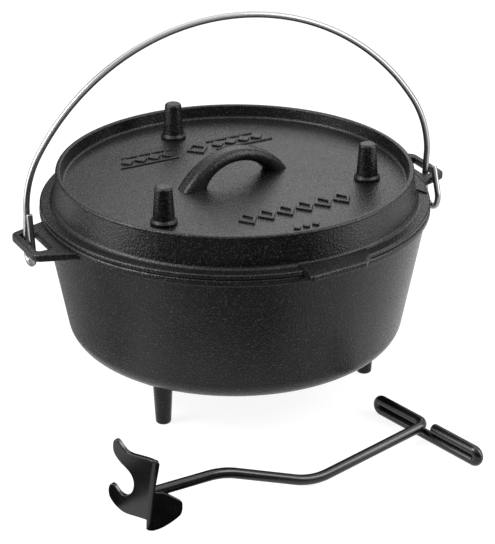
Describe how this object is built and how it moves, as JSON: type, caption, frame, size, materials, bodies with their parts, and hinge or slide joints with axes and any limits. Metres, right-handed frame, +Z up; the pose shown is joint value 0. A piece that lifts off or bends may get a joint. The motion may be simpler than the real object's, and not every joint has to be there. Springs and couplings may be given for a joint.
{
  "type": "camp dutch oven",
  "caption": "Footed cast iron camp oven with a flanged, legged lid, a swinging wire bail and a loose bent-rod lid lifter for cooking over coals.",
  "frame": {"origin": "on the floor under the centre of the pot", "axes": "+Z up along the pot axis, -Y towards the viewer of the picture, +X to the viewer's right"},
  "size_m": [0.309, 0.3601, 0.2611],
  "materials": {
    "iron": "sand cast and seasoned, semi matt",
    "bail_steel": "bright drawn wire",
    "lifter_coat": "gloss black coat"
  },
  "bodies": {
    "pot": {"pot": "iron"},
    "lid": {"lid": "iron"},
    "bail": {"bail": "bail_steel"},
    "lifter": {"lifter_rod": "lifter_coat", "lifter_claw": "lifter_coat", "lifter_weld": "lifter_coat"}
  },
  "joints": [
    {"name": "bail_swing", "type": "hinge", "parent": "pot", "child": "bail", "pos_m": [0, 0, 0.1268], "axis": [0.9205, 0.3907, 0], "range_deg": [-28, 36]},
    {"name": "lid_lift", "type": "slide", "parent": "pot", "child": "lid", "axis": [0, 0, 1], "range_m": [0, 0.03]},
    {"name": "lifter_slide", "type": "slide", "parent": "pot", "child": "lifter", "axis": [0, -1, 0], "range_m": [0, 0.08]}
  ]
}
